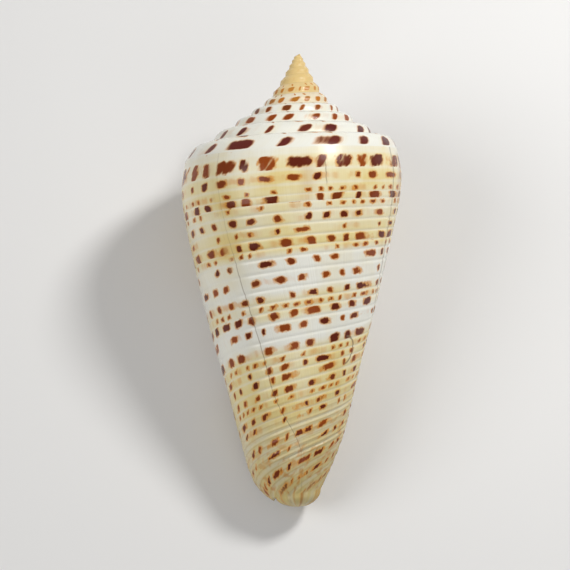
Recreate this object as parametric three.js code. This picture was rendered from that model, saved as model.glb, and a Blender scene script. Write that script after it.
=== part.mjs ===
// A cone shell: the shell of a cone snail, one hard piece that grew as a spiral tube.
//
// The shell is worked out about its own axis first. A place on it has a stage, which is
// the number of turns back from the finished lip, a radius from the axis and a depth
// below the tip. The spire is one spiral ramp. The last turn carries on down to the base
// and is rolled like a scroll, and the slit between its lip and the turn before is the
// aperture. The shell is then laid on its aperture, the way it comes to rest on a table.
//
// Millimetres, +Z up, spire towards +Y. The origin is under the middle of the shell.
import * as THREE from 'three';
import { LoftGeometry } from 'three/addons/geometries/LoftGeometry.js';
import { mergeGeometries, mergeVertices } from 'three/addons/utils/BufferGeometryUtils.js';

// Driving dimensions, mm, degrees and turns.
const LIP_RADIUS = 15.25; // shoulder radius at the finished lip
const TURNS = 11; // from the first shell to the lip
const FIRST_TURNS = 0.8; // how long the first shell takes to reach its full size
const WIDENING = 0.27; // how fast the shoulder widens at the lip, as a power of e per turn
const WIDENING_GAIN = 0.0057; // how much faster it widened a turn earlier
const SHALLOW_SLOPE = 0.68; // fall of the spire's late turns, per mm of radius
const STEEP_RADIUS = 3.83; // the spire's young turns, inside this radius, are steeper
const STEEP_BLEND = 1.1; // how gently the one slope runs into the other
const TIP_BLUNTNESS = 0.5; // how far the tip falls short of that cone's point
const TIP_RADIUS = 1.6; // the tip is blunt inside this radius
const HIGH_SHOULDER = 0.5; // the last turn's shoulder runs this much high for a while,
const HIGH_STAGE = 0.64; // here,
const HIGH_TURNS = 0.26; // and over this far to each side
const STEP = 0.65; // height of the wall that stands under a turn's shoulder
const YOUNG_RADIUS = 1.5; // the step is lower on turns smaller than this
const SUTURE_OUT = 1.02; // the suture's radius, as a share of the shoulder's
const RIM_IN = 0.945; // where the shoulder's rounded rim starts, as a share of its radius,
const RIM_RISE = 0.075; // and how much higher it starts, as a share of it too
const RAMP_SWELL = 0.015; // how far the ramp swells at its middle, as a share of it too
const WALL = 1.2; // shell wall behind the lip
const LIP_WALL = 0.75; // shell wall at the lip's edge
const LIP_TAPER = 0.08; // turns over which the lip thins
const CAVITY_TURNS = 0.62; // how far back the opening can be followed
const CAVITY_TURNS_AT_BASE = 0.15; // and how far at the base, where the lip stands open
const RAMP_SHARE = 0.14; // how much of the inside of the wall lies under the ramp
const NOTCH = 6; // depth in degrees of the lip's notch on the ramp
const LIP_LAG = 27; // how far the lip's foot lags behind its shoulder, degrees
const LIP_ANGLE = 141.5; // from the middle of the back, over the left side, to the lip
const TILT = 13.1; // rise of the axis towards the spire, at rest, degrees
const BASE_DEPTH = 59.9; // the bottom of the pillar that the shell is rolled round

// The side of the last turn from the shoulder to the base. Each row is one place on the
// lip: radius, depth, and how much each of the two grows in one turn.
const SIDE = [
  [15.95, 18.15, 1.27, 1.22],
  [15.55, 22.3, 1.25, 1.25],
  [14.45, 27.6, 1.25, 1.25],
  [13.0, 33.83, 1.25, 1.25],
  [11.35, 40.0, 1.22, 1.25],
  [9.5, 46.2, 1.18, 1.25],
  [7.85, 52.4, 1.13, 1.25],
  [6.4, 57.2, 1.08, 1.23],
  [5.0, 58.8, 1.13, 1.14],
  [3.6, 59.4, 1.3, 1.055],
];

// How finely the surfaces are divided.
const STEPS_PER_TURN = 36;
const RAMP_ROWS = 4;
const SIDE_ROWS = 16;
const CAVITY_STEPS = 16;
const CURL_ROWS = 3;

const CORNER = 0.06; // how far down the side the inside of the wall meets the turn before

const RADIANS = Math.PI / 180;

// A smooth step from 0 to 1 while x goes from a to b.
function ease(x, a, b) {
  return THREE.MathUtils.smoothstep(x, a, b);
}

// The shoulder of the turn that grew at a stage, as radius and depth.
function shoulder(stage) {
  const grown = ease(TURNS - stage, 0, FIRST_TURNS);
  const power = WIDENING * stage + WIDENING_GAIN * stage * stage;
  const radius = LIP_RADIUS * Math.exp(-power) * Math.sqrt(grown);
  const bend = STEEP_RADIUS - radius;
  const steep = (radius + STEEP_RADIUS - Math.hypot(bend, STEEP_BLEND)) / 2;
  const blunt = TIP_BLUNTNESS * Math.exp(-((radius / TIP_RADIUS) ** 2));
  const high = HIGH_SHOULDER * Math.exp(-(((stage - HIGH_STAGE) / HIGH_TURNS) ** 2));
  return new THREE.Vector2(radius, (SHALLOW_SLOPE * radius + steep - blunt) * grown - high);
}

// The line on a turn's wall, just under its shoulder, where the next turn sits on it.
function suture(stage) {
  const s = shoulder(stage);
  return new THREE.Vector2(SUTURE_OUT * s.x, s.y + STEP * Math.tanh(s.x / YOUNG_RADIUS));
}

// The ramp of a turn, from the suture above it to the suture below.
function rampCurve(stage) {
  const s = shoulder(stage);
  const above = stage + 1 < TURNS ? suture(stage + 1) : new THREE.Vector2(0, 0);
  const rim = new THREE.Vector2(RIM_IN * s.x, s.y - RIM_RISE * s.x);
  const middle = above.clone().lerp(rim, 0.5);
  middle.y -= RAMP_SWELL * s.x;
  return new THREE.SplineCurve([above, middle, rim, s, suture(stage)]);
}

// The side of the last turn, from the suture line down to the base.
function sideCurve(stage) {
  const places = SIDE.map(
    ([r, d, rGrowth, dGrowth]) => new THREE.Vector2(r / rGrowth ** stage, d / dGrowth ** stage),
  );
  return new THREE.SplineCurve([suture(stage), ...places]);
}

// How many turns the lip lags at a place on the side, from its shoulder to its foot.
function lag(depth) {
  return (LIP_LAG / 360) * ease(depth, 16, 62);
}

// A place on the shell as a point in space. The axis is Y with the tip at the top, the
// back faces +Z, and growth runs from +X over the back towards -X: a right-handed shell.
function place(stage, flat) {
  const angle = (LIP_ANGLE - 360 * stage) * RADIANS;
  return new THREE.Vector3(-flat.x * Math.sin(angle), -flat.y, flat.x * Math.cos(angle));
}

// A place on the inside of the wall: in from the outside, square to it.
function inside(curve, t, stage) {
  const wall = LIP_WALL + (WALL - LIP_WALL) * ease(stage, 0, LIP_TAPER);
  const along = curve.getTangent(t);
  return curve.getPoint(t).add(new THREE.Vector2(-along.y, along.x).multiplyScalar(wall));
}

// The places across the ramp, from suture to suture, that grew at the same time.
function rampLine(stage) {
  const line = [];
  for (let j = 0; j <= RAMP_ROWS; j += 1) {
    const t = j / RAMP_ROWS;
    const then = stage + (NOTCH / 360) * Math.sin(Math.PI * t);
    line.push(place(then, rampCurve(then).getPoint(t)));
  }
  return line;
}

// The spiral ramp, from the first shell to the lip, as one strip between two sutures.
function makeSpire() {
  const lines = [];
  const steps = Math.round(TURNS * STEPS_PER_TURN);
  for (let i = 0; i <= steps; i += 1) lines.push(rampLine(i / STEPS_PER_TURN));
  return new LoftGeometry(lines, { closed: false });
}

// Where the inside of the wall runs into the turn before it, under the suture.
function innerCorner(stage) {
  return sideCurve(stage + 1).getPoint(CORNER);
}

// The inside of the wall at a stage. It starts at the inner corner, follows the ramp out
// to the shoulder, and from there runs down the side.
function ceiling(stage, down) {
  if (down === 0) return innerCorner(stage);
  if (down < RAMP_SHARE) {
    const across = THREE.MathUtils.mapLinear(down, 0, RAMP_SHARE, 0.2, 0.8);
    return inside(rampCurve(stage), across, stage);
  }
  return inside(sideCurve(stage), (down - RAMP_SHARE) / (1 - RAMP_SHARE), stage);
}

// A place at the foot of the pillar, drawn in along a quarter circle towards the tip.
function curled(flat, curl) {
  const turn = (curl * Math.PI) / 2;
  const depth = THREE.MathUtils.lerp(flat.y, BASE_DEPTH, Math.sin(turn));
  return new THREE.Vector2(flat.x * Math.cos(turn), depth);
}

// The places of one level of the last turn: back from the lip along the inside of the
// wall, out again along the turn before, and on round the outside to the lip. Below the
// last level the pillar curls in to its tip, and the curl says how far it has got.
function levelRing(level, curl) {
  const down = level / SIDE_ROWS;
  const t = CORNER + (1 - CORNER) * down;
  const outside = level === 0 ? 0 : t;
  const back = lag(sideCurve(0).getPoint(outside).y);
  const deep = THREE.MathUtils.lerp(CAVITY_TURNS, CAVITY_TURNS_AT_BASE, ease(down, 0.5, 1));
  const ring = [];
  for (let i = 0; i <= CAVITY_STEPS; i += 1) {
    const stage = back + (deep * i) / CAVITY_STEPS;
    ring.push(place(stage, ceiling(stage, down)));
  }
  for (let i = CAVITY_STEPS; i >= 0; i -= 1) {
    const stage = back + 1 + (deep * i) / CAVITY_STEPS;
    ring.push(place(stage, curled(sideCurve(stage).getPoint(t), curl)));
  }
  for (let i = STEPS_PER_TURN; i >= 0; i -= 1) {
    const stage = back + i / STEPS_PER_TURN;
    const flat = sideCurve(stage).getPoint(outside);
    const onPillar = i / STEPS_PER_TURN > deep;
    ring.push(place(stage, onPillar ? curled(flat, curl) : flat));
  }
  return ring;
}

// The small face that closes the lip where it meets the turn before.
function makeLipCorner() {
  const edge = rampLine(0);
  const corner = edge.map(() => place(0, innerCorner(0)));
  return new LoftGeometry([corner, edge], { closed: false });
}

// Join the surfaces at their shared points and leave out triangles with no area.
function weld(surfaces) {
  const bare = surfaces.map((surface) => surface.deleteAttribute('normal').deleteAttribute('uv'));
  const welded = mergeVertices(mergeGeometries(bare), 1e-3);
  const corners = welded.index.array;
  const kept = [];
  for (let i = 0; i < corners.length; i += 3) {
    const [a, b, c] = corners.slice(i, i + 3);
    if (a !== b && b !== c && c !== a) kept.push(a, b, c);
  }
  return welded.setIndex(kept);
}

function makeShell() {
  const rings = [];
  for (let k = 0; k <= SIDE_ROWS; k += 1) rings.push(levelRing(k, 0));
  for (let k = 1; k <= CURL_ROWS; k += 1) rings.push(levelRing(SIDE_ROWS, k / CURL_ROWS));
  const body = new LoftGeometry(rings, { closed: true, capEnd: true });
  const shell = weld([makeSpire(), body, makeLipCorner()]);
  shell.rotateX(TILT * RADIANS);
  shell.computeBoundingBox();
  const { min, max } = shell.boundingBox;
  shell.translate(-(min.x + max.x) / 2, -(min.y + max.y) / 2, -min.z);
  shell.computeVertexNormals();
  return shell;
}

const porcelain = new THREE.MeshStandardMaterial({
  color: 0xe9dfbf,
  roughness: 0.32,
  metalness: 0,
});
const shell = new THREE.Mesh(makeShell(), porcelain);
shell.name = 'shell';

const part = new THREE.Group();
part.name = 'cone_shell';
part.add(shell);

export default part;
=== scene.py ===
# %% [markdown]
# # A cone shell
# This lesson finishes one cone shell: a tall stepped spire, a last turn that tapers to
# the base, and rows of brown spots on cream and white. The plain solid of the shell is
# already in the frame, and gives its place and size. Here the same spiral is grown again,
# fine enough to carry the cords, the growth marks and the pattern.

# %% Open the frame
import math

import bmesh
import bpy
from mathutils import Matrix, Vector


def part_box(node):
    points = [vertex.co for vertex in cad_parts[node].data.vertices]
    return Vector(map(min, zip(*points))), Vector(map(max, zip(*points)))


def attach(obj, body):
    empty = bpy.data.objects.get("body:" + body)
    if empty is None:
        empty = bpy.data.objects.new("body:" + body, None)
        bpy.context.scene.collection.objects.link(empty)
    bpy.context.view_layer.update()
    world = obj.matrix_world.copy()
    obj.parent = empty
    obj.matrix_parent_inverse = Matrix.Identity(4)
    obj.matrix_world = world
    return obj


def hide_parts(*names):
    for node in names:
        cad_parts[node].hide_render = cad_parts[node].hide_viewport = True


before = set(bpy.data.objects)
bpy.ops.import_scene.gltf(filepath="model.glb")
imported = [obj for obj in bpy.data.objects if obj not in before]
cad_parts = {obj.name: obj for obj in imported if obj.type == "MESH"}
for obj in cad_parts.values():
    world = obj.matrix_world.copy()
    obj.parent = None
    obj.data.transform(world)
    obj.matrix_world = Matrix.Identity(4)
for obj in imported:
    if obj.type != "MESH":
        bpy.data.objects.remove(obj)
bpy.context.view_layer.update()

# %% [markdown]
# ## How a snail builds its shell
# The snail only ever adds shell at its lip, and it grows while it does so. So every place
# on the shell has a stage: how many turns ago the lip stood there. A stage, together with
# a place along the lip, gives a radius from the axis and a depth below the tip. Writing
# the shell that way keeps its turns, its cords and its pattern on one set of coordinates.
# All the lengths here are in millimetres.

# %% The shoulder and the sutures
LIP_RADIUS = 15.25  # shoulder radius at the finished lip
TURNS = 11  # from the first shell to the lip
FIRST_TURNS = 0.8  # how long the first shell takes to reach its full size
WIDENING = 0.27  # how fast the shoulder widens at the lip, as a power of e per turn
WIDENING_GAIN = 0.0057  # how much faster it widened a turn earlier
SHALLOW_SLOPE = 0.68  # fall of the spire's late turns, per mm of radius
STEEP_RADIUS = 3.83  # the spire's young turns, inside this radius, are steeper
STEEP_BLEND = 1.1  # how gently the one slope runs into the other
TIP_BLUNTNESS = 0.5  # how far the tip falls short of that cone's point
TIP_RADIUS = 1.6  # the tip is blunt inside this radius
HIGH_SHOULDER = 0.5  # the last turn's shoulder runs this much high for a while,
HIGH_STAGE = 0.64  # here,
HIGH_TURNS = 0.26  # and over this far to each side
SUTURE_OUT = 1.02  # the suture's radius, as a share of the shoulder's
STEP = 0.65  # height of the wall that stands under a turn's shoulder
YOUNG_RADIUS = 1.5  # the step is lower on turns smaller than this


def ease(x, low, high):
    share = min(1.0, max(0.0, (x - low) / (high - low)))
    return share * share * (3 - 2 * share)


def bell(x, middle, width):
    return math.exp(-(((x - middle) / width) ** 2))


def shoulder(stage):
    grown = ease(TURNS - stage, 0, FIRST_TURNS)
    power = WIDENING * stage + WIDENING_GAIN * stage**2
    radius = LIP_RADIUS * math.exp(-power) * math.sqrt(grown)
    steep = (radius + STEEP_RADIUS - math.hypot(STEEP_RADIUS - radius, STEEP_BLEND)) / 2
    blunt = TIP_BLUNTNESS * bell(radius, 0, TIP_RADIUS)
    high = HIGH_SHOULDER * bell(stage, HIGH_STAGE, HIGH_TURNS)
    return Vector((radius, (SHALLOW_SLOPE * radius + steep - blunt) * grown - high))


def suture(stage):
    s = shoulder(stage)
    return Vector((SUTURE_OUT * s.x, s.y + STEP * math.tanh(s.x / YOUNG_RADIUS)))


for stage in (0, 2, 5, 9):
    print("shoulder", stage, "turns back:", [round(c, 2) for c in shoulder(stage)])

# %% [markdown]
# ## The ramp and the side
# Across one turn the outline runs down the ramp from one suture to the next. On the last
# turn it carries on down the side to the base. Each place on the side has its own growth
# per turn, because the base grows down more than it grows out. A table of a few places
# and a smooth curve through them is enough for so plain a line.

# %% The outline across a turn
RIM_IN = 0.945  # where the shoulder's rounded rim starts, as a share of its radius,
RIM_RISE = 0.075  # and how much higher it starts, as a share of it too
RAMP_SWELL = 0.015  # how far the ramp swells at its middle, as a share of it too

# Radius and depth at the lip, and how much each of the two grows in one turn.
SIDE = [
    (15.95, 18.15, 1.27, 1.22),
    (15.55, 22.3, 1.25, 1.25),
    (14.45, 27.6, 1.25, 1.25),
    (13.0, 33.83, 1.25, 1.25),
    (11.35, 40.0, 1.22, 1.25),
    (9.5, 46.2, 1.18, 1.25),
    (7.85, 52.4, 1.13, 1.25),
    (6.4, 57.2, 1.08, 1.23),
    (5.0, 58.8, 1.13, 1.14),
    (3.6, 59.4, 1.3, 1.055),
]


def spline(points, t):
    last = len(points) - 1
    i = min(int(t * last), last - 1)
    w = t * last - i
    p0, p1, p2, p3 = (points[min(max(k, 0), last)] for k in (i - 1, i, i + 1, i + 2))
    v0, v1 = (p2 - p0) / 2, (p3 - p1) / 2
    cubic = (2 * p1 - 2 * p2 + v0 + v1) * w**3 + (3 * p2 - 3 * p1 - 2 * v0 - v1) * w**2
    return cubic + v0 * w + p1


def ramp_outline(stage):
    s = shoulder(stage)
    above = suture(stage + 1) if stage + 1 < TURNS else Vector((0, 0))
    rim = Vector((RIM_IN * s.x, s.y - RIM_RISE * s.x))
    middle = above.lerp(rim, 0.5) - Vector((0, RAMP_SWELL * s.x))
    return [above, middle, rim, s, suture(stage)]


def side_outline(stage):
    places = [Vector((r / rg**stage, d / dg**stage)) for r, d, rg, dg in SIDE]
    return [suture(stage), *places]


print("places across the last turn:", len(ramp_outline(0)) + len(side_outline(0)) - 1)

# %% [markdown]
# ## From the outline to space
# The spiral turns to the right: seen from the spire it runs clockwise as it grows. The
# back of the shell faces up and the lip is on the underside, towards the left. The foot
# of the lip lags behind its shoulder, and on the ramp the lip has a shallow notch.

# %% Places in space
LIP_ANGLE = 141.5  # degrees, from the middle of the back over the left side to the lip
LIP_LAG = 27 / 360  # turns, from the lip's shoulder to its foot
LAG_DEPTHS = 16, 62  # where the lag starts and where it is full
NOTCH = 6 / 360  # depth of the lip's notch on the ramp, turns


def lag(depth):
    return LIP_LAG * ease(depth, *LAG_DEPTHS)


def in_space(stage, flat):
    angle = math.radians(LIP_ANGLE - 360 * stage)
    return Vector((-flat.x * math.sin(angle), -flat.y, flat.x * math.cos(angle)))


print("lip at the shoulder, mm:", [round(c, 1) for c in in_space(0, shoulder(0))])

# %% [markdown]
# ## Cords and rows of spots
# Low flat cords run round the whole last turn and each carries one row of spots. They run
# down the shell faster than its outline grows, so they cross the back on a slant, and the
# slant is steepest at the narrow base. A cord keeps one number all the way round, its
# band: the depth at which it crosses the middle of the back. The lists say where each row
# lies and how bold its spots are: on the side by its band, and on the ramp by its share of
# the way down. Row number and boldness go onto the shell for the pattern.

# %% Where the rows of spots lie
CORD_GROWTH = 0.33  # how fast a cord runs down the shell, as a power of e per turn
BACK_STAGE = 0.393  # the stage at the middle of the back
SIDE_SPOTS = [
    (13.2, 0.0),
    (15.4, 2.4),
    (17.5, 0.85),
    (19.2, 0.32),
    (20.2, 1.15),
    (21.1, 0.32),
    (22.6, 0.85),
    (24.2, 0.5),
    (25.7, 1.1),
    (26.8, 0.32),
    (28.1, 0.8),
    (30.3, 0.8),
    (32.4, 0.75),
    (33.6, 0.32),
    (34.7, 1.05),
    (36.4, 0.8),
    (38.9, 1.25),
    (40.2, 0.32),
    (41.3, 0.8),
    (42.6, 0.9),
    (44.2, 0.85),
    (45.3, 0.32),
    (46.7, 0.85),
    (47.9, 0.7),
    (50.2, 1.0),
    (51.7, 0.6),
    (54.0, 1.0),
    (56.0, 0.7),
    (58.6, 0.8),
    (61.2, 0.6),
    (64.0, 0.7),
    (67.0, 0.5),
    (70.0, 0.5),
    (74.0, 0.0),
]
RAMP_SPOTS = [(-0.1, 0.0), (0.3, 0.5), (0.74, 1.25), (1.2, 0.0)]


def row_at(rows, value):
    """Row number, boldness and distance to the next row, at a place across the rows."""
    for k in range(len(rows) - 1):
        (low, here), (high, beyond) = rows[k], rows[k + 1]
        if value <= high:
            share = max(0.0, (value - low) / (high - low))
            return k + share, here if share < 0.5 else beyond, high - low
    return len(rows) - 1, 0.0, 1.0


def cord(stage, depth):
    return depth * math.exp(CORD_GROWTH * (stage - BACK_STAGE))


def on_side(stage, turns, flat):
    """Calendar coordinates of a place on the side of the last turn."""
    band = cord(stage, flat.y)
    row, bold, spacing = row_at(SIDE_SPOTS, band)
    return (turns, band), (row, bold), (2 * math.pi * flat.x, spacing)


END_ROWS = 2  # the first and last rows of the list are blank
print("rows on the side:", len(SIDE_SPOTS) - END_ROWS)

# %% [markdown]
# ## Relief
# Fine grooves part the cords, and near the base the cords stand up as sharp ridges. Twice
# in the last turn the snail rested. Each rest left a line along the lip of that time, and
# a strip of older shell beside the first line lies a little lower. A bump map could fake
# all this, but the outline would stay smooth, so the mesh itself is pressed in.

# %% Grooves, ridges and rest marks
GROOVE_DEPTH, GROOVE_HALF = 0.1, 0.15  # mm
RIDGE_DEPTH, RIDGE_PITCH = 0.11, 0.75
BASE_BAND = 43  # the ridges start here
FIRST_REST, FIRST_DEPTH, FIRST_WIDTH = 0.57, 0.15, 0.007  # turns, mm, turns
SECOND_REST, SECOND_DEPTH, SECOND_WIDTH = 0.268, 0.06, 0.006
SECOND_BEND = 0.067  # how many turns the second mark falls back at the base
STRIP_DEPTH, STRIP_EDGE, STRIP_END, STRIP_FADE = 0.08, 0.02, 0.72, 0.1  # mm, then turns


def second_rest(band):
    return SECOND_REST + SECOND_BEND * ease(band, BASE_BAND, BASE_BAND + 12)


def relief(stage, turns, depth):
    """How far a place on the side lies in from the smooth outline."""
    band = cord(stage, depth)
    row, _, spacing = row_at(SIDE_SPOTS, band)
    from_groove = abs(row % 1 - 0.5) * spacing
    grooves = GROOVE_DEPTH * bell(from_groove, 0, GROOVE_HALF) * ease(band, 17, 24)
    wave = 0.5 - 0.5 * math.cos(2 * math.pi * band / RIDGE_PITCH)
    ridges = RIDGE_DEPTH * ease(band, BASE_BAND, BASE_BAND + 10) * wave
    rests = FIRST_DEPTH * bell(turns, FIRST_REST, FIRST_WIDTH)
    rests += SECOND_DEPTH * bell(turns, second_rest(band), SECOND_WIDTH)
    low_strip = STRIP_DEPTH * ease(turns, FIRST_REST, FIRST_REST + STRIP_EDGE)
    low_strip *= ease(STRIP_END - turns, 0, STRIP_FADE)
    return grooves + ridges + rests + low_strip


print("depth of the first rest mark, mm:", round(relief(0.6, FIRST_REST, 30), 2))

# %% [markdown]
# ## Growing the spire
# A flat grid is the snail's calendar: one way across it is the stage, the other way is
# the place across the ramp. Moving each point of the grid to its place in space rolls
# the sheet up into the spire. The face corners keep their coordinates as three UV maps,
# so the pattern knows where it is: "growth" holds turns and band, "rows" holds row number
# and boldness, and "size" holds the girth and the row spacing in millimetres.

# %% A grid with calendar coordinates
STEPS = 200  # faces per turn
RAMP_ROWS = 8
RAMP_ROW_NUMBER = -10  # the ramp's rows are counted from here, apart from the side's
SPIRE_CELL = 95.0, 1.45  # the girth and spacing that the ramp's spots are sized by


def calendar_grid(columns, rows, where):
    """A grid of faces whose corners go to the point and coordinates of where(column, row)."""
    bm = bmesh.new()
    layers = [bm.loops.layers.uv.new(name) for name in ("growth", "rows", "size")]
    bmesh.ops.create_grid(bm, x_segments=columns, y_segments=rows, size=0.5)
    made = {}
    for v in bm.verts:
        column = round((v.co.x + 0.5) * columns)
        row = round((v.co.y + 0.5) * rows)
        made[v] = where(column, row)
    for face in bm.faces:
        for loop in face.loops:
            for layer, value in zip(layers, made[loop.vert][1]):
                loop[layer].uv = value
    for v, (point, _) in made.items():
        v.co = point
    return bm


def on_ramp(column, row):
    t = row / RAMP_ROWS
    stage = column / STEPS
    then = stage + NOTCH * math.sin(math.pi * t)
    number, bold, _ = row_at(RAMP_SPOTS, t)
    coordinates = (stage, t - 1), (number + RAMP_ROW_NUMBER, bold), SPIRE_CELL
    return in_space(then, spline(ramp_outline(then), t)), coordinates


spire = calendar_grid(TURNS * STEPS, RAMP_ROWS, on_ramp)
print("spire faces:", len(spire.faces))

# %% [markdown]
# ## Growing the last turn
# The last turn is a scroll. Each level of it starts inside, at the end of the cavity,
# comes out along the turn before, goes once round the outside to the lip, passes over
# the lip's edge and goes back in along the inside of the wall. So the same grid makes the
# outside, the lip and the walls of the aperture in one sheet, and the wall has a real
# thickness. At the foot the pillar curls in to the tip of the base.

# %% The walls of the last turn
LIP_WALL, WALL, LIP_TAPER = 0.75, 1.2, 0.08  # mm, mm, turns
CORNER = 0.06  # how far down the side the inside of the wall meets the turn before
RAMP_SHARE = 0.14  # how much of the inside of the wall lies under the ramp
BASE_DEPTH = 59.9  # the bottom of the pillar that the shell is rolled round
SMOOTH_TO = 0.16  # the relief fades in between the corner and here


def inside(outline, t, stage):
    wall = LIP_WALL + (WALL - LIP_WALL) * ease(stage, 0, LIP_TAPER)
    step = 1e-4
    along = spline(outline, min(1, t + step)) - spline(outline, max(0, t - step))
    along.normalize()
    return spline(outline, t) + wall * Vector((-along.y, along.x))


def ceiling(stage, down):
    """The inside of the wall: from the inner corner, under the ramp, then down the side."""
    if down == 0:
        return spline(side_outline(stage + 1), CORNER)
    if down < RAMP_SHARE:
        return inside(ramp_outline(stage), 0.2 + 0.6 * down / RAMP_SHARE, stage)
    return inside(side_outline(stage), (down - RAMP_SHARE) / (1 - RAMP_SHARE), stage)


def curled(flat, curl):
    depth = flat.y + (BASE_DEPTH - flat.y) * math.sin(curl * math.pi / 2)
    return Vector((flat.x * math.cos(curl * math.pi / 2), depth))


def outside(stage, turns, t):
    flat = spline(side_outline(stage), t)
    return flat - Vector((relief(stage, turns, flat.y) * ease(t, CORNER, SMOOTH_TO), 0))


side_now = side_outline(0.3)
wall_here = (spline(side_now, 0.5) - inside(side_now, 0.5, 0.3)).length
print("wall at the middle of the side, mm:", round(wall_here, 2))

# %% [markdown]
# One column of the grid is one step round the ring: the outside first, from a turn back
# to the lip, then over the lip's edge, in along the inside of the wall and out again on
# the turn before. The lip's edge and the inside are left without spots.

# %% The scroll of the last turn
SIDE_ROWS = 300
CURL_ROWS = 8
CAVITY_STEPS = 24
LIP_STEPS = 3
LIP_OUT = STEPS
LIP_IN = LIP_OUT + LIP_STEPS
CAVITY_END = LIP_IN + CAVITY_STEPS
RING = CAVITY_END + 1 + CAVITY_STEPS
CAVITY_TURNS = 0.62  # how far back the opening can be followed
CAVITY_LOSS = 0.47  # how much less of it there is at the base, where the lip stands open
LIP_SWELL = 0.16  # how far the lip's rounded edge stands proud
LIP_GIRTH = 45  # mm of girth that turn that swell into turns
PLAIN = (0.0, 0.0), (0.0, 0.0), (50.0, 1.0)  # coordinates without a spot
SIDE_SHARE, SIDE_REACH = 0.95, 0.8  # the one share of the rows covers the other of the side


def even_rows(share):
    """Rows run evenly down the side; the last twentieth of them turn in under the base."""
    if share < SIDE_SHARE:
        return SIDE_REACH * share / SIDE_SHARE
    return SIDE_REACH + (1 - SIDE_REACH) * (share - SIDE_SHARE) / (1 - SIDE_SHARE)


def on_scroll(column, level):
    down = even_rows(min(1, level / SIDE_ROWS))
    curl = max(0, level - SIDE_ROWS) / CURL_ROWS
    t = CORNER + (1 - CORNER) * down
    t_out = t if level else 0.0
    back = lag(spline(side_outline(0), t_out).y)
    deep = CAVITY_TURNS - CAVITY_LOSS * ease(down, 0.5, 1)
    if column <= LIP_OUT:
        turns = 1 - column / STEPS
        flat = outside(back + turns, turns, t_out)
        coordinates = on_side(back + turns, turns, flat)
        if turns > deep:
            flat = curled(flat, curl)
        return in_space(back + turns, flat), coordinates
    if column < LIP_IN:
        share = (column - LIP_OUT) / (LIP_IN - LIP_OUT)
        outer, inner = outside(back, 0.0, t_out), ceiling(back, down)
        proud = LIP_SWELL * math.sin(math.pi * share)
        growth, (row, _), size = on_side(back, 0.0, outer)
        spotless = growth, (row, 0.0), size
        return in_space(back - proud / LIP_GIRTH, outer.lerp(inner, share)), spotless
    if column <= CAVITY_END:
        turns = deep * (column - LIP_IN) / CAVITY_STEPS
        return in_space(back + turns, ceiling(back + turns, down)), PLAIN
    turns = 1 + deep * (RING - column) / CAVITY_STEPS
    flat = curled(outside(back + turns, turns, t), curl)
    return in_space(back + turns, flat), PLAIN


scroll = calendar_grid(RING, SIDE_ROWS + CURL_ROWS, on_scroll)
print("scroll faces:", len(scroll.faces))

# %% [markdown]
# At the top of the lip the ramp ends in mid air, and a small fan of faces joins that edge
# to the inner corner, where the wall of the lip meets the turn before.


# %% The corner of the lip
def on_lip_corner(column, row):
    point, _ = on_ramp(0, row)
    inner = in_space(0, ceiling(0, 0))
    return (point if column == 0 else inner), PLAIN


lip_corner = calendar_grid(1, RAMP_ROWS, on_lip_corner)
print("lip corner faces:", len(lip_corner.faces))

# %% [markdown]
# ## One closed shell
# The sheets meet point for point, so welding their doubles closes every suture and the
# lip. What stays open is the flat foot, where the wall and the cavity end beside the
# pillar. Filling that hole and cutting the filling into triangles closes the shell, so it
# has a real thickness and no loose edge.

# %% Join and weld the sheets
WELD, SLIVER = 2e-4, 1e-4  # points nearer than the one join, edges under the other go
shell_mesh = bpy.data.meshes.new("shell")
whole = bmesh.new()
for sheet in (spire, scroll, lip_corner):
    part = bpy.data.meshes.new("sheet")
    sheet.to_mesh(part)
    sheet.free()
    whole.from_mesh(part)
    bpy.data.meshes.remove(part)
bmesh.ops.remove_doubles(whole, verts=whole.verts, dist=WELD)
bmesh.ops.dissolve_degenerate(whole, edges=whole.edges, dist=SLIVER)
foot_edges = [edge for edge in whole.edges if edge.is_boundary]
print("open edges at the foot:", len(foot_edges))
foot = bmesh.ops.holes_fill(whole, edges=foot_edges, sides=0)["faces"]
bmesh.ops.triangulate(whole, faces=foot)
bmesh.ops.recalc_face_normals(whole, faces=whole.faces)
print("still open:", sum(not edge.is_manifold for edge in whole.edges))

# %% [markdown]
# ## Laying it down
# The axis rises towards the spire, because the shell rests on the slope of its side. The
# solid's flat faces cut inside the true curve, so the fine shell is a hair larger; it is
# scaled to fit the solid's own box and set down in it.

# %% Fit the shell to the frame
TILT = 13.1  # rise of the axis towards the spire, degrees
MM = 0.001
ROOM = 0.9995  # the share of the solid's box that the shell may fill
CLEAR = 2e-6  # the gap that keeps it from dipping under the table, m
turn = Matrix.Rotation(math.radians(TILT), 3, "X")
bmesh.ops.transform(whole, matrix=(turn * MM).to_4x4(), verts=whole.verts)


def extent(bm):
    points = [v.co for v in bm.verts]
    low = Vector([min(p[i] for p in points) for i in range(3)])
    high = Vector([max(p[i] for p in points) for i in range(3)])
    return low, high


solid_low, solid_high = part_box("shell")
solid_low, solid_high = Vector(solid_low), Vector(solid_high)
low, high = extent(whole)
fit = ROOM * min((solid_high - solid_low)[i] / (high - low)[i] for i in range(3))
middle = (low + high) / 2
rest = (solid_low + solid_high) / 2
shift = Matrix.Translation(rest) @ Matrix.Scale(fit, 4) @ Matrix.Translation(-middle)
bmesh.ops.transform(whole, matrix=shift, verts=whole.verts)
drop = solid_low.z + CLEAR - extent(whole)[0].z
bmesh.ops.translate(whole, vec=(0, 0, drop), verts=whole.verts)
for face in whole.faces:
    face.smooth = True
whole.to_mesh(shell_mesh)
whole.free()
triangles = sum(len(face.vertices) - 2 for face in shell_mesh.polygons)
print("fit:", round(fit, 5), "triangles:", triangles)

shell = bpy.data.objects.new("shell_fine", shell_mesh)
bpy.context.scene.collection.objects.link(shell)

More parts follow.
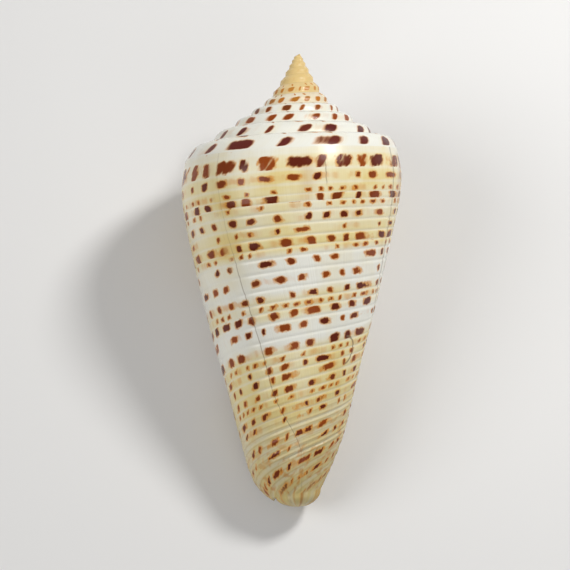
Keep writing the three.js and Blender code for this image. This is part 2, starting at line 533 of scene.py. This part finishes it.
# %% [markdown]
# ## The pattern
# Everything on this shell was laid down at the lip, so its colour follows the calendar:
# the cream and white bands follow the cords, the spots sit on them, and whole columns of
# spots line up along the old lips. A painted image would blur close up and would fix
# every spot by hand. Nodes work the pattern out from the three UV maps instead, so it
# stays sharp and wraps round the shell without a seam.

# %% An empty material
material = bpy.data.materials.new("spotted porcelain shell")
material.use_nodes = True
tree = material.node_tree
tree.nodes.clear()


def node(kind, **settings):
    made = tree.nodes.new(kind)
    for name, value in settings.items():
        setattr(made, name, value)
    return made


def feed(socket, value):
    if isinstance(value, bpy.types.NodeSocket):
        tree.links.new(value, socket)
    else:
        socket.default_value = value


def math_node(operation, *values):
    made = node("ShaderNodeMath", operation=operation)
    for socket, value in zip(made.inputs, values):
        feed(socket, value)
    return made.outputs[0]


print("material:", material.name)

# %% [markdown]
# The pattern is mostly sums, and a sum in nodes is one node for each sign. So each sign
# gets a short name here, and the sums below read like ordinary sums.


# %% Sums
def chain(operation, values):
    total = values[0]
    for value in values[1:]:
        total = math_node(operation, total, value)
    return total


def plus(*values):
    return chain("ADD", values)


def times(*values):
    return chain("MULTIPLY", values)


def minus(value, less):
    return math_node("SUBTRACT", value, less)


def over(value, divisor):
    return math_node("DIVIDE", value, divisor)


def absolute(value):
    return math_node("ABSOLUTE", value)


print("sums:", chain.__name__, "of", plus.__name__, "and", times.__name__)

# %% [markdown]
# More helpers make soft edges and lay one colour over another. Hardly any edge on a
# shell is sharp, so nearly every limit is a smooth step.


# %% Steps and blends
def between(value, low, high, to_low=0.0, to_high=1.0):
    """A smooth step from to_low to to_high while the value goes from low to high."""
    made = node("ShaderNodeMapRange", interpolation_type="SMOOTHSTEP")
    for name, given in (
        ("Value", value),
        ("From Min", low),
        ("From Max", high),
        ("To Min", to_low),
        ("To Max", to_high),
    ):
        feed(made.inputs[name], given)
    return made.outputs["Result"]


def clamped(value):
    made = node("ShaderNodeClamp")
    feed(made.inputs[0], value)
    return made.outputs[0]


def mixed(share, under, over_it, blend="MIX"):
    made = node("ShaderNodeMix", data_type="RGBA", blend_type=blend)
    feed(made.inputs["Factor"], share)
    feed(made.inputs["A"], under)
    feed(made.inputs["B"], over_it)
    return made.outputs["Result"]


def thin_line(distance, width):
    return between(absolute(distance), width, width * 0.3)


print("helpers for steps and blends:", between.__name__, mixed.__name__, thin_line.__name__)

# %% [markdown]
# Luck comes in two kinds. Soft noise changes slowly from place to place, and dice give
# each cell of the calendar its own fixed numbers. Both read the UV maps, never the
# screen, so every spot keeps its shape from all sides.


# %% Coordinates and luck
def point(x, y, z=0.0):
    made = node("ShaderNodeCombineXYZ")
    for socket, value in zip(made.inputs, (x, y, z)):
        feed(socket, value)
    return made.outputs[0]


def uv(name):
    read = node("ShaderNodeUVMap", uv_map=name)
    split = node("ShaderNodeSeparateXYZ")
    feed(split.inputs[0], read.outputs[0])
    return split.outputs[0], split.outputs[1]


def soft_noise(x, y, z=0.0, detail=2.0):
    made = node("ShaderNodeTexNoise", noise_dimensions="3D")
    feed(made.inputs["Vector"], point(x, y, z))
    feed(made.inputs["Scale"], 1.0)
    feed(made.inputs["Detail"], detail)
    return made.outputs["Fac"]


def dice(x, y, z=0.0):
    made = node("ShaderNodeTexWhiteNoise", noise_dimensions="3D")
    feed(made.inputs["Vector"], point(x, y, z))
    split = node("ShaderNodeSeparateColor")
    feed(split.inputs[0], made.outputs["Color"])
    return split.outputs[0], split.outputs[1], split.outputs[2]


turns, band = uv("growth")
row, bold = uv("rows")
girth, spacing = uv("size")


def calendar_noise(per_turn, down, per_step, detail=2.0, seed=0.0):
    """Soft noise with so many waves in a turn and in one step of the way down."""
    return soft_noise(times(turns, per_turn), times(down, per_step), seed, detail)


def swing(noise, reach):
    """Turn noise that goes from 0 to 1 into a shift to either side."""
    return times(minus(noise, 0.5), reach)


print("UV maps read:", sum(n.bl_idname == "ShaderNodeUVMap" for n in tree.nodes))

# %% [markdown]
# ### Rows of spots
# One spot is a rounded block in its own cell of the calendar. A turn has so many cells,
# more of them in the rows of tiny dots and fewer near the base and on the spire. The
# whole calendar is wrung a little, because nothing a snail makes is ruled.

# %% Cells for the spots
SPOTS_PER_TURN = 28.0
FEWER_AT_BASE = 8.0
FEWER_ON_SPIRE = 12.5
MORE_TINY = 22.0
TINY_BOLD = 0.35  # rows fainter than this hold tiny dots
WRING, WRING_ON_SPIRE, SLIP, ROW_SHIFT = 2.2, -1.4, 0.9, 0.3  # cells

row_id = math_node("ROUND", row)
off_row = minus(row, row_id)
across = times(off_row, spacing)
on_spire = math_node("LESS_THAN", band, 0.0)
tiny_row = math_node("LESS_THAN", bold, TINY_BOLD)
fewer = between(band, 20.0, 52.0, 0.0, -FEWER_AT_BASE)
more = plus(times(tiny_row, MORE_TINY), times(on_spire, -FEWER_ON_SPIRE))
pitch = plus(SPOTS_PER_TURN, fewer, more)
wring = calendar_noise(11.0, row, 0.05, 1.0)
wring = times(wring, plus(WRING, times(on_spire, WRING_ON_SPIRE)))
slip = calendar_noise(19.0, row_id, 0.9, 1.0)
luck_row, _, _ = dice(row_id, 3.0)
around = plus(times(turns, pitch), wring, times(slip, SLIP), times(luck_row, ROW_SHIFT))
cell = math_node("FLOOR", around)
cell_length = over(girth, pitch)
along = times(minus(minus(around, cell), 0.5), cell_length)
luck_length, luck_gap, luck_tone = dice(cell, row_id, 7.0)
luck_high, luck_lean, _ = dice(cell, row_id, 9.0)
print("nodes for the cells:", len(tree.nodes))

# %% [markdown]
# A spot's size is in millimetres, so it doesn't stretch where the shell is wide. The
# row's boldness sets it, luck makes it longer or shorter, and a slow wave along the
# growth makes columns where the spots are long. Young, narrow turns have small spots.

# %% How long and how high a spot is
LEAST_LENGTH, LENGTH, LENGTH_LUCK, COLUMN_LENGTH = 0.04, 0.31, 0.31, 0.16
LEAST_HEIGHT, HEIGHT, HEIGHT_LUCK = 0.1, 0.24, 0.12
FLAME_BOLD = 1.25  # the row bolder than this has tall flames
FLAME_LONGER, FLAME_TALLER = 0.2, 0.15
SPIRE_SHORTER, SPIRE_TALLER = 0.85, 0.25

column_wave = calendar_noise(14.0, row, 0.05, 1.0)
column = between(column_wave, 0.38, 0.6)
length = plus(LENGTH, times(luck_length, LENGTH_LUCK), times(column, COLUMN_LENGTH))
capped = math_node("MINIMUM", bold, FLAME_BOLD)
on_flames = between(bold, FLAME_BOLD, 1.5)
older = between(turns, 0.5, 5.0, 1.2, 1.7)
longer = plus(1.0, times(on_flames, FLAME_LONGER), times(on_spire, plus(older, -SPIRE_SHORTER)))
narrow = between(girth, 20.0, 95.0, 0.4, 1.0)
half_length = times(plus(LEAST_LENGTH, times(capped, length)), longer, narrow)
height = times(bold, plus(HEIGHT, times(luck_high, HEIGHT_LUCK)))
taller = plus(1.0, times(on_spire, SPIRE_TALLER), times(on_flames, FLAME_TALLER))
low_turn = between(girth, 20.0, 75.0, 0.75, 1.0)
half_height = times(plus(LEAST_HEIGHT, height), low_turn, taller)
print("nodes with the sizes:", len(tree.nodes))

# %% [markdown]
# A rounded block is the places where two shares, along and across, each raised to a
# power, add up to less than one. The power sets how square it is. Ragged edges come from
# moving the place before it is measured. Lower down the spots lean along the old lips.

# %% The shape of one spot
RAGGED_ENDS, RAGGED_SIDES = 0.8, 0.5  # mm
LEAN, LEAN_MIDDLE = 0.3, 0.3
SQUARENESS, ROUNDER_ON_SPIRE = 2.9, -0.7
STROKES, STROKE_LEVEL = 4.5, 0.46
HALO_LENGTH, HALO_HEIGHT = 0.24, 0.12  # mm beyond the spot

end_noise = calendar_noise(120.0, band, 1.5, 3.0)
ragged_end = swing(end_noise, RAGGED_ENDS)
ragged_side = swing(calendar_noise(110.0, band, 1.6, 3.0, 5.0), RAGGED_SIDES)
upright = plus(between(band, 15.0, 42.0, 0.0, 0.45), times(on_spire, -0.4))
along = plus(along, ragged_end, times(across, upright))
leaning = times(minus(luck_lean, LEAN_MIDDLE), LEAN)
across = plus(across, times(along, leaning), ragged_side)
squareness = plus(SQUARENESS, times(on_spire, ROUNDER_ON_SPIRE))


def far(distance, half):
    return math_node("POWER", absolute(over(distance, half)), squareness)


def block(to_end, to_side):
    return plus(far(along, to_end), far(across, to_side))


stroke_lean = plus(times(turns, 105.0), times(band, 0.7))
strokes = soft_noise(stroke_lean, times(band, 0.5), 2.0, 1.0)
flames = times(on_flames, minus(strokes, STROKE_LEVEL), STROKES)
spot_reach = plus(block(half_length, half_height), flames)
halo_block = block(plus(half_length, HALO_LENGTH), plus(half_height, HALO_HEIGHT))
halo_reach = plus(halo_block, flames)
print("nodes with the shape:", len(tree.nodes))

# %% [markdown]
# ### Which cells have a spot
# About one cell in ten is empty. The smooth tan tip has no spots, nor has the very end of
# the base, and a narrow strip beside the second rest mark is left blank.

# %% Spots that are there
EMPTY = 0.1
SURE_TINY, SURE_FLAME = -0.22, 0.3
SPOTLESS_TURNS = 6.4, 5.0  # no spots before the one, all of them after the other
SPOTLESS_GIRTH = 14.0, 32.0
MARK_BESIDE, MARK_BLANK = 0.009, 0.011  # turns
WAVER, WAVER_BACK = 0.008, -0.004

chance = plus(luck_gap, times(tiny_row, SURE_TINY))
chance = plus(chance, times(on_spire, between(bold, 0.5, 1.0)), times(on_flames, SURE_FLAME))
present = math_node("GREATER_THAN", chance, EMPTY)
on_a_row = between(bold, 0.05, 0.15)
grown = times(between(turns, *SPOTLESS_TURNS), between(girth, *SPOTLESS_GIRTH))
waver = soft_noise(times(band, 0.12), 0.0)
second_at = between(band, BASE_BAND, BASE_BAND + 12, second_rest(0), second_rest(99))
off_second = minus(plus(turns, times(waver, WAVER), WAVER_BACK), second_at)
blank = times(thin_line(plus(off_second, MARK_BESIDE), MARK_BLANK), between(band, 32.0, 22.0))
present = times(present, on_a_row, grown, minus(1.0, times(blank, 0.9)))
spot = times(between(spot_reach, 1.75, 0.6), present)
halo = times(between(halo_reach, 1.9, 0.3), present)
print("nodes with the spots:", len(tree.nodes))

# %% [markdown]
# Between the spots of a row the shell is smeared with orange here and there. The smears
# follow the row, so they are noise stretched along it.

# %% Orange smears along a row
smear = between(calendar_noise(30.0, row_id, 0.8), 0.5, 0.7)
near_row = between(absolute(across), 0.55, 0.15)
smear = times(smear, near_row, on_a_row, plus(1.0, times(on_spire, -0.7)))
print("nodes with the smears:", len(tree.nodes))

# %% [markdown]
# ### Cream and white
# The ground is porcelain white with broad cream bands. A colour ramp over the band says
# how creamy each place is, and a slow cloud breaks up its edges. The grooves between the
# cords stay whiter. Where cloud and band are both strong the cream turns golden.

# %% The bands of cream
WHITE = (0.78, 0.77, 0.69, 1)
CREAM = (0.75, 0.63, 0.30, 1)
GOLD = (0.70, 0.47, 0.14, 1)
BANDS_SPAN = 60.0
CREAM_BANDS = [
    (-1.0, 0.05),
    (13.0, 0.1),
    (15.0, 0.6),
    (18.0, 0.9),
    (22.0, 0.7),
    (26.0, 1.0),
    (27.8, 0.1),
    (31.5, 0.05),
    (33.0, 0.6),
    (34.6, 0.5),
    (35.6, 0.0),
    (38.0, 0.0),
    (40.0, 0.9),
    (46.0, 1.0),
    (49.0, 0.75),
    (58.0, 0.9),
]
CLOUD, GOLD_CLOUD = 1.5, 1.6

ramp = node("ShaderNodeValToRGB")
ramp.color_ramp.interpolation = "EASE"
stops = ramp.color_ramp.elements
while len(stops) > 1:
    stops.remove(stops[-1])
for i, (at, cream) in enumerate(CREAM_BANDS):
    position = (at + 1) / BANDS_SPAN
    stop = stops[0] if i == 0 else stops.new(position)
    stop.position = position
    stop.color = (cream, cream, cream, 1)
feed(ramp.inputs[0], over(plus(band, 1.0), BANDS_SPAN))
cloud = swing(calendar_noise(13.0, band, 0.16, 3.0), CLOUD)
on_cord = between(absolute(off_row), 0.5, 0.3, 0.6, 1.0)
creaminess = clamped(times(plus(ramp.outputs[0], cloud), on_cord))
ground = mixed(creaminess, WHITE, CREAM)
golden = between(plus(ramp.outputs[0], times(cloud, GOLD_CLOUD)), 0.9, 1.6)
golden = times(golden, between(band, 38.0, 30.0, 0.3, 0.7))
ground = mixed(golden, ground, GOLD)
print("bands of cream:", len(CREAM_BANDS), "stops")

# %% [markdown]
# The tip of the spire is all tan. A fine tan line of painted shade lies in every suture of
# the spire, where the older turn overhangs, and the same tan lies in the grooves between
# the ridges of the base. The base is also painted darker, partly in its own duller tone
# and partly as painted shade where less light reaches it, and it is mottled with orange.

# %% Tan, painted shade in the sutures, and the darker base
TAN = (0.71, 0.52, 0.22, 1)
# painted shade for the sutures, and the tan of the grooves at the base
SHADE_AND_GROOVE_TAN = (0.50, 0.33, 0.15, 1)
ORANGE = (0.62, 0.25, 0.03, 1)
# the base's own duller tone together with painted shade
BASE_TONE_AND_SHADE = (0.76, 0.73, 0.62, 1)

ground = mixed(between(turns, 3.3, 5.8), ground, TAN)
# painted shade: a darker tan line in each suture, at the foot of the step under the older turn
suture_shade = times(on_spire, between(band, -0.92, -0.99))
ground = mixed(times(suture_shade, 0.7), ground, SHADE_AND_GROOVE_TAN)
half_pitch = RIDGE_PITCH / 2
ridge = over(math_node("PINGPONG", band, half_pitch), half_pitch)
in_groove = times(between(ridge, 0.4, 0.1), between(band, BASE_BAND, BASE_BAND + 7))
in_groove = times(in_groove, between(girth, 14.0, 30.0, 0.0, 0.35))
ground = mixed(in_groove, ground, SHADE_AND_GROOVE_TAN)
mottle = between(calendar_noise(32.0, band, 1.1, 3.0, 3.0), 0.5, 0.66)
mottle = times(mottle, between(band, 46.0, 55.0, 0.0, 0.6))
ground = mixed(mottle, ground, ORANGE)
# painted shade: the base is multiplied darker, partly its own duller tone, partly where less
# light reaches it
ground = mixed(between(band, 40.0, 56.0), ground, BASE_TONE_AND_SHADE, "MULTIPLY")
print("nodes with the ground:", len(tree.nodes))

# %% [markdown]
# ### Brown
# Around each spot the cream turns orange, and the spot itself is a deep red brown, some
# redder than others. The spots of the shoulder are nearly plum, and those of the young
# turns are only orange. A rusty stain joins the long spots just below the shoulder.

# %% The spots on it
BROWN = (0.11, 0.014, 0.004, 1)
RUST = (0.32, 0.065, 0.006, 1)
PLUM = (0.10, 0.016, 0.016, 1)
SMEAR_STRENGTH, STAIN_STRENGTH, HALO_STRENGTH = 0.5, 0.3, 0.85

colour = mixed(times(smear, SMEAR_STRENGTH), ground, ORANGE)
stain = between(column_wave, 0.56, 0.68)
stain_zone = times(between(band, 23.0, 19.0, 0.0, STAIN_STRENGTH), between(band, 14.0, 15.5))
colour = mixed(times(stain, stain_zone), colour, RUST)
colour = mixed(times(halo, HALO_STRENGTH), colour, ORANGE)
redness = between(plus(luck_tone, times(tiny_row, 0.5)), 0.1, 0.9, 0.0, 0.75)
near_shoulder = times(between(band, 14.5, 13.5), between(turns, 2.5, 1.0, 0.0, 0.8))
spot_colour = mixed(near_shoulder, mixed(redness, BROWN, RUST), PLUM)
spot_colour = mixed(between(turns, 2.8, 5.0, 0.0, 0.7), spot_colour, ORANGE)
colour = mixed(spot, colour, spot_colour)
print("nodes with the colours:", len(tree.nodes))

# %% [markdown]
# ### Growth lines
# Fine lines run along every old lip. They darken the shell a little, and the same noise
# gives a bump a few hundredths of a millimetre high. That is too fine for the mesh.

# %% Growth lines
OLD_LIP = (0.80, 0.73, 0.62, 1)
LINES_PER_TURN = 420.0
LINE_HEIGHT = 0.00006  # m
LINE_STRENGTH = 0.35

lines = calendar_noise(LINES_PER_TURN, band, 0.08)
colour = mixed(between(lines, 0.42, 0.72, 0.0, 0.15), colour, OLD_LIP, "MULTIPLY")
bump = node("ShaderNodeBump")
feed(bump.inputs["Strength"], LINE_STRENGTH)
feed(bump.inputs["Distance"], LINE_HEIGHT)
feed(bump.inputs["Height"], lines)
print("growth lines, mm apart at the shoulder:", round(SPIRE_CELL[0] / LINES_PER_TURN, 2))

# %% [markdown]
# ### Marks of its life
# The two rest marks that are pressed into the mesh get a little painted shade, a darker
# line along each groove. A short crack runs down from the shoulder, and a bite at the lip
# healed as a small hook: one side of an ellipse. These are hair lines, so they are drawn
# in colour and not cut.

# %% Rest marks, a crack and a healed chip
# painted shade for the rest marks, and the dark of the crack and the hook
DIRT_AND_SHADE = (0.20, 0.13, 0.07, 1)
# the two rest marks' shares are painted shade
FIRST_LINE, FIRST_SHADE = 0.004, 0.55  # turns, share
SECOND_LINE, SECOND_SHADE = 0.0016, 0.65
CRACK_AT, CRACK_LINE, CRACK_WAVER, CRACK_DIRT = -0.434, 0.0014, 0.004, 0.6
CHIP_AT, CHIP_BAND = -0.458, -41.0
CHIP_LENGTH, CHIP_HEIGHT, CHIP_LINE, CHIP_DIRT = 0.026, 1.9, 0.12, 0.9

# painted shade: a darker line along the groove of each rest mark
first = thin_line(plus(turns, -FIRST_REST), FIRST_LINE)
second = thin_line(off_second, SECOND_LINE)
second = times(second, between(band, 24.0, 30.0, 0.2, SECOND_SHADE))
second = times(second, between(plus(waver, times(band, -0.02)), -0.75, -0.6))
crack = thin_line(plus(turns, CRACK_AT, times(end_noise, CRACK_WAVER)), CRACK_LINE)
crack = times(crack, between(band, 15.0, 16.0), between(band, 19.0, 18.0))
chip_x = over(plus(turns, CHIP_AT), CHIP_LENGTH)
chip_y = over(plus(band, CHIP_BAND), CHIP_HEIGHT)
chip = math_node("SQRT", plus(times(chip_x, chip_x), times(chip_y, chip_y)))
chip = times(thin_line(plus(chip, -1.0), CHIP_LINE), between(chip_x, -0.1, 0.2))
healed = plus(times(crack, CRACK_DIRT), times(chip, CHIP_DIRT))
# the rest marks' painted shade, with the crack and the hook
marks = plus(second, times(first, FIRST_SHADE), healed)
on_last_turn = math_node("GREATER_THAN", band, 12.0)
colour = mixed(times(clamped(times(marks, on_last_turn)), 0.8), colour, DIRT_AND_SHADE)
print("nodes with the marks:", len(tree.nodes))

# %% [markdown]
# ### Gloss
# The shell has the soft gloss of porcelain, a little duller in some places than others.
# One principled surface is enough: shell is opaque, and no layer of lacquer lies on it.

# %% The surface
GLOSSY, DULL = 0.18, 0.26
SHINE = 0.22
surface = node("ShaderNodeBsdfPrincipled")
feed(surface.inputs["Base Color"], colour)
feed(surface.inputs["Roughness"], between(cloud, -0.4, 0.4, GLOSSY, DULL))
feed(surface.inputs["Normal"], bump.outputs[0])
surface.inputs["Specular IOR Level"].default_value = SHINE
result = node("ShaderNodeOutputMaterial")
tree.links.new(surface.outputs[0], result.inputs["Surface"])
shell.data.materials.append(material)
print("nodes in the material:", len(tree.nodes))

# %% [markdown]
# ## Handing the shell over
# The fine shell takes the place of the plain solid. It rides on the one body there is,
# because nothing on a shell moves.

# %% Hand the shell to the frame
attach(shell, "root")
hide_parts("shell")
print("pieces handed over:", shell.name)

# %% [markdown]
# ## The table and the lights
# The shell lies on a plain pale table, one square face and so large that its edge is out
# of sight. A dull paint keeps the shell's reflection off it.

# %% A pale table
TABLE_HALF = 1.5  # m
TABLE_PAINT = (0.74, 0.73, 0.71, 1)
floor_bm = bmesh.new()
bmesh.ops.create_grid(floor_bm, x_segments=1, y_segments=1, size=TABLE_HALF)
floor_mesh = bpy.data.meshes.new("table")
floor_bm.to_mesh(floor_mesh)
floor_bm.free()
floor = bpy.data.objects.new("table", floor_mesh)
bpy.context.scene.collection.objects.link(floor)
table_paint = bpy.data.materials.new("pale table")
table_paint.use_nodes = True
paint = table_paint.node_tree.nodes["Principled BSDF"]
paint.inputs["Base Color"].default_value = TABLE_PAINT
paint.inputs["Roughness"].default_value = 0.85
floor.data.materials.append(table_paint)
print("table, m:", 2 * TABLE_HALF)

# %% [markdown]
# The key light is a small disc close above the shoulder, to the right. It gives the one
# highlight, and being close it leaves the base a little darker. Two broad, weak lights
# and a pale room fill the left side and the base, so no shadow is hard.

# %% Soft lights
LAMPS_AIM = Vector((0, 0, 0.012))
ROOM_LIGHT, ROOM_STRENGTH = (0.95, 0.96, 1.0, 1), 0.25


def soft_light(name, towards, distance, size, power):
    lamp = bpy.data.lights.new(name, "AREA")
    lamp.shape = "DISK"
    lamp.size = size
    lamp.energy = power
    made = bpy.data.objects.new(name, lamp)
    bpy.context.scene.collection.objects.link(made)
    direction = Vector(towards).normalized()
    made.location = LAMPS_AIM + distance * direction
    made.rotation_euler = direction.to_track_quat("Z", "Y").to_euler()


soft_light("key", (0.75, 0.6, 1.0), 0.25, 0.055, 0.46)
soft_light("fill", (-0.9, -0.1, 0.8), 0.6, 0.4, 1.5)
soft_light("foot", (0.3, -1.0, 0.7), 0.6, 0.4, 0.4)
world = bpy.data.worlds.new("room")
bpy.context.scene.world = world
world.use_nodes = True
background = world.node_tree.nodes["Background"]
background.inputs[0].default_value = ROOM_LIGHT
background.inputs[1].default_value = ROOM_STRENGTH
print("lights:", len(bpy.data.lights))
bpy.context.scene.view_settings.view_transform = "Standard"

# %% [markdown]
# ## The camera
# It looks straight down on the back of the shell, square to its axis but for a few
# degrees, from far enough away that the outline is almost a flat drawing.

# %% A long lens over the back
CAMERA_LEAN = 3.0  # degrees towards the base
DISTANCE = 0.45  # m
SEEN_WIDTH = 0.0748  # what the picture spans at the shell, m
SENSOR = 36  # mm
AIM, AIM_DROP = Vector((-0.00085, -0.0006, 0.0125)), 0.00079
camera_data = bpy.data.cameras.new("camera")
camera_data.sensor_width = SENSOR
camera_data.lens = SENSOR * DISTANCE / SEEN_WIDTH
camera_data.clip_start = 0.01
camera_data.clip_end = 10
camera = bpy.data.objects.new("camera", camera_data)
bpy.context.scene.collection.objects.link(camera)
rise = math.radians(90 - TILT - CAMERA_LEAN)
away = Vector((0, -math.cos(rise), math.sin(rise)))
upward = Vector((0, math.sin(rise), math.cos(rise)))
aim = AIM - AIM_DROP * upward
camera.location = aim + DISTANCE * away
camera.rotation_euler = away.to_track_quat("Z", "Y").to_euler()
bpy.context.scene.camera = camera
print("lens, mm:", round(camera_data.lens))
